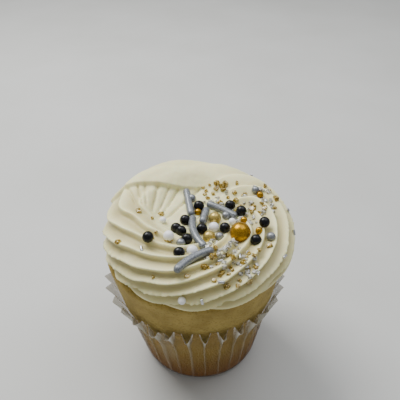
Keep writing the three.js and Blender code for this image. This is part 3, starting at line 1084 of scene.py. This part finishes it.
        # Where each fold lies and how wide it is
        draw = random.Random(self.seed)
        tips = np.array([draw.uniform(-1.0, 1.0) for _ in range(self.pleats)])
        turned = np.array([draw.uniform(-self.fold_lean, self.fold_lean) for _ in range(self.pleats)])
        wide = np.array([draw.uniform(*self.fold_widths) for _ in range(self.pleats)])
        wide[self.CRUMPLED] = self.crumpled_width
        height, pleat, offset = self.grid()
        away = np.abs(offset) + 0.0 * height
        bend = self.waver * np.sin(height / self.waver_length + 2.1 * pleat) * eased(height / 10.0)
        place = pleat + offset + (turned[pleat] + bend) * (1.0 - 2 * away)
        angle = np.radians(self.first_fold + place * 360.0 / self.pleats)
        front = np.maximum(0.0, -np.sin(angle))
        tucked = eased((front - self.tuck_start) / self.tuck_width)
        band, arms, forking = self.fold(height, away, tucked, wide[pleat])
        panel = ((pleat == self.CRUMPLED) & (offset > 0)) | ((pleat == self.CRUMPLED + 1) & (offset < 0))
        panel = panel * eased(away * 5.0)
        # The wall, out on the folds and in between them, and the rim's uneven edge
        flare = self.flare(height)
        radius = self.middle_radius(height, angle) + (2.0 * band - 1.0) * self.depth(height, angle)
        radius = radius + self.tip_spread * tips[pleat] * flare * (1.0 - tucked) + self.arm_reach * arms
        notch = self.fork_notch * np.clip(1.0 - away / self.fork_width, 0.0, 1.0) * forking**2 * tucked
        between = self.notch * (band - 1.0) * flare * (1.0 - tucked)
        lift = flare * (self.rim_lift * front + self.tip_rise * tips[pleat]) + between - notch
        lift = lift + self.arm_lift * arms - self.crumpled_drop * panel * forking**2
        flat = np.stack([radius * np.cos(angle), radius * np.sin(angle), height], axis=-1).reshape(-1, 3)
        crease = Swirl.drift(flat, self.crease_size).reshape(angle.shape)
        wrinkle = Swirl.drift(flat + 40.0, self.wrinkle_size).reshape(angle.shape)
        crumple = self.crumple_height * wrinkle * forking * (pleat == self.CRUMPLED)
        rough = self.crease_height * crease + self.wrinkle_height * wrinkle
        radius = radius + rough * eased(height / self.rough_start) + crumple
        outer = np.stack([radius * np.cos(angle), radius * np.sin(angle), height + lift], axis=-1)
        piece = ringed_piece("baking_case", self.thick_sheet(outer, height, radius), (0.0, self.paper))
        # What the paper's finish reads: how free it is of fat, and where its folds are creased white
        risen = self.rim_dryness * eased((height - self.dry_start) / self.dry_length)
        dry = band * (self.fold_dryness + self.wall_dryness * eased(height / 26.0) + risen)
        dry = dry + arms + 0.3 * panel * eased((height - 8.0) / 15.0)
        dry = dry + self.side_dryness * flare * (1.0 - tucked)
        ragged = eased(3.0 * np.abs(wrinkle)) * (pleat == self.CRUMPLED) * eased((0.35 - away) * 8.0)
        sharp = np.maximum(arms, forking * tucked * np.maximum(band, ragged))
        for name, values in (("free", np.clip(dry, 0.0, 1.0)), ("crease", np.clip(sharp, 0.0, 1.0))):
            store(piece, name, np.append(np.concatenate([values, values[::-1]]).ravel(), [0.0, 0.0]))
        return piece


# The sprinkles

class Pearls(Enum):
    """The kinds of sugar pearl, each with its finish."""

    BLACK = SugarCoat("Black polished sugar pearl", "#020304", "#08090A", 0.0, 0.26, 0.0, 0.3)
    WHITE = SugarCoat("White sugar pearl", "#FFFFFF", "#F6F6F4", 0.0, 0.3, 0.2)
    SILVER = SugarCoat("Silver pearl-dusted sugar", "#76797C", "#9DA0A3", 0.6, 0.34)
    AMBER_GOLD = SugarCoat("Amber gold pearl-dusted sugar", "#8A6006", "#C89C26", 0.8, 0.27)
    PALE_GOLD = SugarCoat("Pale gold pearl-dusted sugar", "#94792C", "#DCC878", 0.65, 0.3)


@dataclass
class Sprinkles:
    """Everything that is scattered on the icing, one piece for each kind."""

    swirl: Swirl
    sunk: float = 0.5
    pearl: float = 3.9
    white_pearl: float = 3.7
    small_pearl: float = 3.1
    least_pearl: float = 2.6
    wide_pearl: float = 4.6
    great_pearl: float = 7.3
    unevenness: tuple[float, float] = (-0.2, 0.04)
    rod_thickness: float = 2.75
    rod_steps: int = 12
    rod_sides: int = 20
    bar_thickness: float = 1.0
    bar_length: float = 2.0
    bar_sides: int = 14
    bar_rounding: float = 0.12
    bar_seat: float = 0.6
    crystal_seat: float = 0.08
    crystal_room: float = 0.9
    crystal_kinds: int = 4
    crystal_tilt: float = 0.5
    crystal_width: tuple[float, float] = (0.65, 1.0)
    crystal_thickness: tuple[float, float] = (0.5, 0.9)
    crystal_skew: float = 0.12
    crystal_cut: float = 0.1
    amber_sizes: tuple[float, float] = (0.9, 2.1)
    clear_sizes: tuple[float, float] = (0.8, 1.7)
    amber_count: int = 46
    clear_count: int = 116
    edge: float = 33.0
    seed: int = 41

    ROD_END = ((0.97, 0.25), (0.8, 0.6), (0.5, 0.87), (0.15, 0.99))
    BLACK = ((-16.8, -18.1), (-8.3, -8.3), (-5.3, -4.2), (-6.5, -9.6), (-4.6, -16.2), (0.7, -7.8),
             (-0.4, 3.6), (8.6, -7.3), (11.1, 4.8), (15.5, 0.6), (21.9, -8.4), (18.7, -15.5), (-6.7, -22.6))
    WHITE = ((-10.7, -15.8), (-2.5, -21.3), (4.8, -6.8))
    LEAST_WHITE = ((-13.3, -5.0), (11.3, -3.9), (-5.5, -33.42))
    LEAST_GOLD = ((-0.8, 0.6), (20.0, -11.1), (16.1, -6.0), (22.2, 7.5))
    SMALL_SILVER = ((20.6, 9.5), (23.7, -13.2), (6.8, -11.2), (9.3, -0.8), (-6.4, -17.7), (-3.0, 7.7))
    WIDE_GOLD = ((5.2, -2.6), (3.1, -11.8))
    GREAT_GOLD = ((14.0, -12.8),)
    RODS = (((-5.1, 11.1), (-3.35, -0.4), 0.0), ((-2.65, -3.4), (1.0, -18.4), 1.3),
            ((2.2, 1.2), (1.0, -4.0), 0.0), ((3.7, 4.6), (12.2, -0.8), -0.3),
            ((-6.6, -28.5), (3.2, -21.2), -1.0))
    BARS = ((-18.6, -20.8), (3.9, -21.4), (6.4, -24.4), (6.2, -30.9), (26.7, -18.0), (31.4, 5.0),
            (32.2, -4.9), (20.0, 24.0), (12.9, -22.2), (0.6, -33.8))
    AMBER = ((-14.6, -28.7), (1.2, -26.8), (-9.7, -16.8), (-14.8, -14.1), (-21.4, -3.6), (-16.8, -6.2),
             (-13.8, -1.2), (-26.2, -15.9), (-4.0, -30.0), (4.3, -30.8), (11.4, -30.6), (12.3, -29.5),
             (17.6, -25.1), (9.8, -26.3), (23.2, 0.2), (27.0, 1.8), (14.1, 14.4), (10.4, -24.0),
             (15.1, -22.5), (10.0, -27.4), (6.9, -28.2), (27.2, 5.9), (24.5, 14.8), (10.0, 13.9), (8.4, 12.7),
             (6.2, 13.7), (5.0, 11.6), (1.9, 11.0), (7.1, 6.9), (10.6, 9.4), (15.8, 8.7), (4.9, -19.7),
             (23.0, -16.8), (-10.7, -16.3), (9.1, -21.7), (18.9, -19.9))
    # Streams of crystals: middle x and y, half widths, and share of the spots
    AMBER_STREAMS = ((20, 6, 9, 9, 0.35), (12, -26, 10, 6, 0.3), (-12, -12, 9, 6, 0.1), (8, 11, 10, 5, 0.25))
    CLEAR_STREAMS = ((19, 2, 8, 10, 0.45), (10, -23, 9, 6, 0.35), (7, -15, 6, 5, 0.1), (7, 7, 8, 5, 0.1))

    def batches(self, kind: Pearls) -> list[tuple[float, Sequence[Spot]]]:
        """Give the sizes and places of one kind of pearl.

        Args:
            kind: The kind of pearl.

        Returns:
            Diameters in millimetres, each with the spots where such pearls lie.
        """
        return {
            Pearls.BLACK: [(self.pearl, self.BLACK)],
            Pearls.WHITE: [(self.white_pearl, self.WHITE), (self.least_pearl, self.LEAST_WHITE)],
            Pearls.SILVER: [(self.small_pearl, self.SMALL_SILVER)],
            Pearls.AMBER_GOLD: [(self.great_pearl, self.GREAT_GOLD), (self.least_pearl, self.LEAST_GOLD)],
            Pearls.PALE_GOLD: [(self.wide_pearl, self.WIDE_GOLD)],
        }[kind]

    def pearls(self, kind: Pearls) -> bpy.types.Object:
        """Make all pearls of one kind.

        Args:
            kind: The kind, which gives the sizes, spots and finish.

        Returns:
            The joined pearls.
        """
        name = f"{kind.name.lower()}_pearls"
        draw = random.Random(f"{self.seed}{name}")
        deselect_all()
        bpy.ops.mesh.primitive_ico_sphere_add(subdivisions=4, radius=0.5 * MM)
        master = bpy.context.object
        smooth_shade(master)
        copies = []
        for diameter, spots in self.batches(kind):
            for spot in spots:
                middle = self.swirl.seat(spot, self.sunk * diameter / 2) * MM
                turn = Euler([draw.uniform(0, math.tau) for _ in range(3)]).to_matrix().to_4x4()
                size = Matrix.Diagonal([diameter + draw.uniform(*self.unevenness) for _ in range(3)] + [1.0])
                copies.append(copy_of(master, Matrix.Translation(middle) @ turn @ size))
        drop([master])
        piece = joined(name, copies)
        piece.data.materials.append(kind.value.material())
        return piece

    def rod(self, start: Spot, end: Spot, bow: float) -> bpy.types.Object:
        """Draw out one rod from a round end, lying on the icing.

        Args:
            start: Spot of its first end.
            end: Spot of its other end.
            bow: How far its middle stands aside, in millimetres.

        Returns:
            The rod.
        """
        half = self.rod_thickness / 2
        lift = self.sunk * half
        first, last = self.swirl.seat(start, lift), self.swirl.seat(end, lift)
        run = Vector((end[0] - start[0], end[1] - start[1], 0.0)).normalized()
        aside = Vector((run.y, -run.x, 0.0)) * 2 * bow
        control = (first + last) / 2 + aside
        rings = []
        for step in range(self.rod_steps + 1):
            share = step / self.rod_steps
            middle = first * (1 - share) ** 2 + control * 2 * share * (1 - share) + last * share**2
            along = ((control - first) * (1 - share) + (last - control) * share).normalized()
            rings.append((middle, along, 1.0))
        risen = max(self.swirl.seat((middle.x, middle.y), lift).z - middle.z for middle, _, _ in rings)
        for middle, _, _ in rings:
            middle.z += risen
        (rear, rear_along, _), (tip, tip_along, _) = rings[0], rings[-1]
        head = [(rear - rear_along * half * out, rear_along, wide) for wide, out in self.ROD_END[::-1]]
        tail = [(tip + tip_along * half * out, tip_along, wide) for wide, out in self.ROD_END]
        sides = self.rod_sides
        points, faces = [], []
        for middle, along, wide in head + rings + tail:
            across = along.cross(Vector((0, 0, 1))).normalized()
            over = across.cross(along)
            for side in range(sides):
                turn = math.tau * side / sides
                points.append((middle + (across * math.cos(turn) + over * math.sin(turn)) * half * wide) * MM)
        for ring in range(len(head + rings + tail) - 1):
            for side in range(sides):
                here, beside = ring * sides + side, ring * sides + (side + 1) % sides
                faces.append((here, here + sides, beside + sides, beside))
        faces.append(tuple(range(sides)))
        top = len(points) - sides
        faces.append(tuple(top + side for side in reversed(range(sides))))
        mesh = bpy.data.meshes.new("rod")
        mesh.from_pydata([tuple(point) for point in points], [], faces)
        piece = bpy.data.objects.new("rod", mesh)
        bpy.context.scene.collection.objects.link(piece)
        pick(piece)
        bpy.ops.object.mode_set(mode="EDIT")
        bpy.ops.mesh.select_all(action="SELECT")
        bpy.ops.mesh.normals_make_consistent(inside=False)
        bpy.ops.object.mode_set(mode="OBJECT")
        smooth_shade(piece)
        return piece

    def rods(self) -> bpy.types.Object:
        """Make the silver-grey rods.

        Returns:
            The joined rods.
        """
        piece = joined("sugar_rods", [self.rod(*entry) for entry in self.RODS])
        finish = SugarCoat("Silver-grey sugar rod", "#62666A", "#979B9E", 0.35, 0.36, 0.2, 0.5, 0.4)
        piece.data.materials.append(finish.material())
        return piece

    def bars(self) -> bpy.types.Object:
        """Make the tiny silver cylinders, each lying flat on the icing.

        Returns:
            The joined cylinders.
        """
        draw = random.Random(self.seed + 1)
        deselect_all()
        bpy.ops.mesh.primitive_cylinder_add(vertices=self.bar_sides, radius=self.bar_thickness * MM / 2,
                                            depth=self.bar_length * MM)
        master = bpy.context.object
        bevel = master.modifiers.new("Rounded ends", "BEVEL")
        bevel.width = self.bar_rounding * MM
        bevel.segments = 2
        apply_modifiers(master)
        smooth_shade(master, degrees=40)
        copies = []
        for spot in self.BARS:
            middle = self.swirl.seat(spot, self.bar_seat * self.bar_thickness / 2)
            lying = (self.swirl.seat(spot, 1.0) - self.swirl.seat(spot, 0.0)).to_track_quat("Y", "Z")
            turn = lying.to_matrix().to_4x4() @ Matrix.Rotation(draw.uniform(0, math.tau), 4, "Y")
            copies.append(copy_of(master, Matrix.Translation(middle * MM) @ turn))
        drop([master])
        piece = joined("silver_bars", copies)
        finish = SugarCoat("Silvered sugar bar", "#B9BBBD", "#E2E3E3", 0.9, 0.22)
        piece.data.materials.append(finish.material())
        return piece

    def strewn(self, draw: random.Random, count: int,
               streams: Sequence[tuple[float, float, float, float, float]]) -> list[Spot]:
        """Draw spots in streams.

        Args:
            draw: The seeded draw.
            count: How many spots.
            streams: Middle x and y, half widths, and share of the spots, for each stream.

        Returns:
            The spots that lie on the icing's top.
        """
        spots = []
        for x, y, half_x, half_y, share in streams:
            for _ in range(round(count * share)):
                turn, away = draw.uniform(0, math.tau), math.sqrt(draw.random())
                spots.append((x + half_x * away * math.cos(turn), y + half_y * away * math.sin(turn)))
        return [spot for spot in spots if math.hypot(*spot) < self.edge and self.beside_pearls(spot)]

    def beside_pearls(self, spot: Spot) -> bool:
        """Tell whether a spot lies clear of every pearl.

        Args:
            spot: x and y in millimetres.

        Returns:
            True where no pearl covers it.
        """
        batches = [batch for kind in Pearls for batch in self.batches(kind)]
        room = [(self.crystal_room * size / 2, pearl) for size, spots in batches for pearl in spots]
        return all(math.dist(spot, pearl) > least for least, pearl in room)

    def crystals(self, name: str, spots: Sequence[Spot], sizes: tuple[float, float],
                 finish: SugarGlass) -> bpy.types.Object:
        """Make all sugar crystals of one kind.

        Args:
            name: The piece's name.
            spots: Where they lie.
            sizes: Smallest and largest size in millimetres.
            finish: The crystals' finish.

        Returns:
            The joined crystals.
        """
        draw = random.Random(f"{self.seed}{name}")
        masters = [self.crystal_master(draw) for _ in range(self.crystal_kinds)]
        copies = []
        for spot in spots:
            size = draw.uniform(*sizes)
            middle = self.swirl.seat(spot, self.crystal_seat * size) * MM
            tilts = [draw.uniform(-self.crystal_tilt, self.crystal_tilt) for _ in range(2)]
            tumble = Euler([*tilts, draw.uniform(0, math.tau)])
            wide, thick = draw.uniform(*self.crystal_width), draw.uniform(*self.crystal_thickness)
            grow = Matrix.Diagonal((size, size * wide, size * thick, 1.0))
            place = Matrix.Translation(middle) @ tumble.to_matrix().to_4x4() @ grow
            copies.append(copy_of(draw.choice(masters), place))
        drop(masters)
        piece = joined(name, copies)
        piece.data.materials.append(finish.material())
        return piece

    def crystal_master(self, draw: random.Random) -> bpy.types.Object:
        """Make one crystal, 1 mm across: a cube with cut edges, knocked out of square.

        Args:
            draw: The seeded draw.

        Returns:
            The crystal, for copying.
        """
        deselect_all()
        bpy.ops.mesh.primitive_cube_add(size=1.0 * MM)
        master = bpy.context.object
        for vertex in master.data.vertices:
            vertex.co += Vector([draw.uniform(-self.crystal_skew, self.crystal_skew) for _ in range(3)]) * MM
        bpy.ops.object.mode_set(mode="EDIT")
        bpy.ops.mesh.select_all(action="SELECT")
        bpy.ops.mesh.bevel(offset=self.crystal_cut * MM, segments=1)
        bpy.ops.object.mode_set(mode="OBJECT")
        return master

    def build(self) -> list[bpy.types.Object]:
        """Make every kind of sprinkle.

        Returns:
            One piece for each kind.
        """
        # Each crystal finish: painted glint colour, body colour, painted shade colour, then transmission
        amber = SugarGlass("Amber sugar crystal", "#EED68A", "#B99732", "#776114", 0.4)
        clear = SugarGlass("Clear sugar crystal", "#FFFFFF", "#E2E0D4", "#8E8C7E", 0.5)
        draw = random.Random(self.seed)
        golden = self.strewn(draw, self.amber_count, self.AMBER_STREAMS)
        plain = self.strewn(draw, self.clear_count, self.CLEAR_STREAMS)
        return [
            *(self.pearls(kind) for kind in Pearls),
            self.rods(),
            self.bars(),
            self.crystals("amber_crystals", list(self.AMBER) + golden, self.amber_sizes, amber),
            self.crystals("clear_crystals", plain, self.clear_sizes, clear),
        ]


# The studio

@dataclass
class Studio:
    """The pale floor, the soft lights and the camera."""

    floor_size: float = 3.0
    camera_place: tuple[float, float, float] = (0.0, -0.135, 0.176)
    camera_pitch: float = 37.3
    lens: float = 43.2
    sensor: float = 36.0
    room_light: float = 0.46

    def floor(self) -> bpy.types.Object:
        """Lay the floor.

        Returns:
            The floor.
        """
        deselect_all()
        bpy.ops.mesh.primitive_plane_add(size=self.floor_size)
        piece = bpy.context.object
        piece.name = "floor"
        piece.data.materials.append(PaintedBoard().material())
        return piece

    def camera(self) -> None:
        """Set the camera at the photograph's height and angle."""
        data = bpy.data.cameras.new("camera")
        data.lens = self.lens
        data.sensor_width = self.sensor
        data.clip_start = 0.01
        camera = bpy.data.objects.new("camera", data)
        camera.location = self.camera_place
        camera.rotation_euler = (math.radians(90 - self.camera_pitch), 0.0, 0.0)
        bpy.context.scene.collection.objects.link(camera)
        bpy.context.scene.camera = camera

    def softbox(self, name: str, place: tuple[float, float, float], size: float, power: float,
                colour: str) -> None:
        """Hang a square soft light that faces the cupcake.

        Args:
            name: The light's name.
            place: Its place in metres.
            size: Its side in metres.
            power: Its power in watts.
            colour: Its colour as an sRGB hex value.
        """
        data = bpy.data.lights.new(name, "AREA")
        data.size = size
        data.energy = power
        data.color = linear(colour)[:3]
        light = bpy.data.objects.new(name, data)
        light.location = place
        light.rotation_euler = (Vector((0.0, 0.0, 0.05)) - Vector(place)).to_track_quat("-Z", "Y").to_euler()
        bpy.context.scene.collection.objects.link(light)

    def lights(self) -> None:
        """Light the scene softly from above, a little from behind on the left."""
        self.softbox("key", (-0.28, 0.28, 0.6), 0.38, 5.8, "#FFFFFF")
        self.softbox("fill", (0.2, 0.15, 0.62), 0.5, 1.9, "#F4F7FF")
        world = bpy.data.worlds.new("soft room")
        world.use_nodes = True
        world.node_tree.nodes["Background"].inputs["Color"].default_value = linear("#E6E8EA")
        world.node_tree.nodes["Background"].inputs["Strength"].default_value = self.room_light
        bpy.context.scene.world = world

    def build(self) -> None:
        """Set up floor, camera and lights."""
        self.floor()
        self.camera()
        self.lights()


def finish_piece(piece: bpy.types.Object, node: str) -> None:
    """Let a piece ride on the body and stand for its solid.

    Args:
        piece: The finished piece.
        node: The solid that it stands for.
    """
    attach(piece, BODY)
    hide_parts(node)
    log.info("%s: %d faces", piece.name, len(piece.data.polygons))


def main() -> None:
    """Build and dress the cupcake, then the studio round it."""
    logging.basicConfig(level=logging.INFO, format="%(message)s")
    case = PaperCase()
    paper = case.build()
    paper.data.materials.append(GreaseproofPaper().material())
    finish_piece(paper, "paper_case")
    cake = Sponge().build(case)
    cake.data.materials.append(SpongeCrumb().material())
    finish_piece(cake, "sponge")
    swirl = Swirl()
    icing = swirl.build()
    icing.data.materials.append(Buttercream().material())
    finish_piece(icing, "icing")
    for piece in Sprinkles(swirl).build():
        finish_piece(piece, "icing")
    Studio().build()


if __name__ == "__main__":
    main()
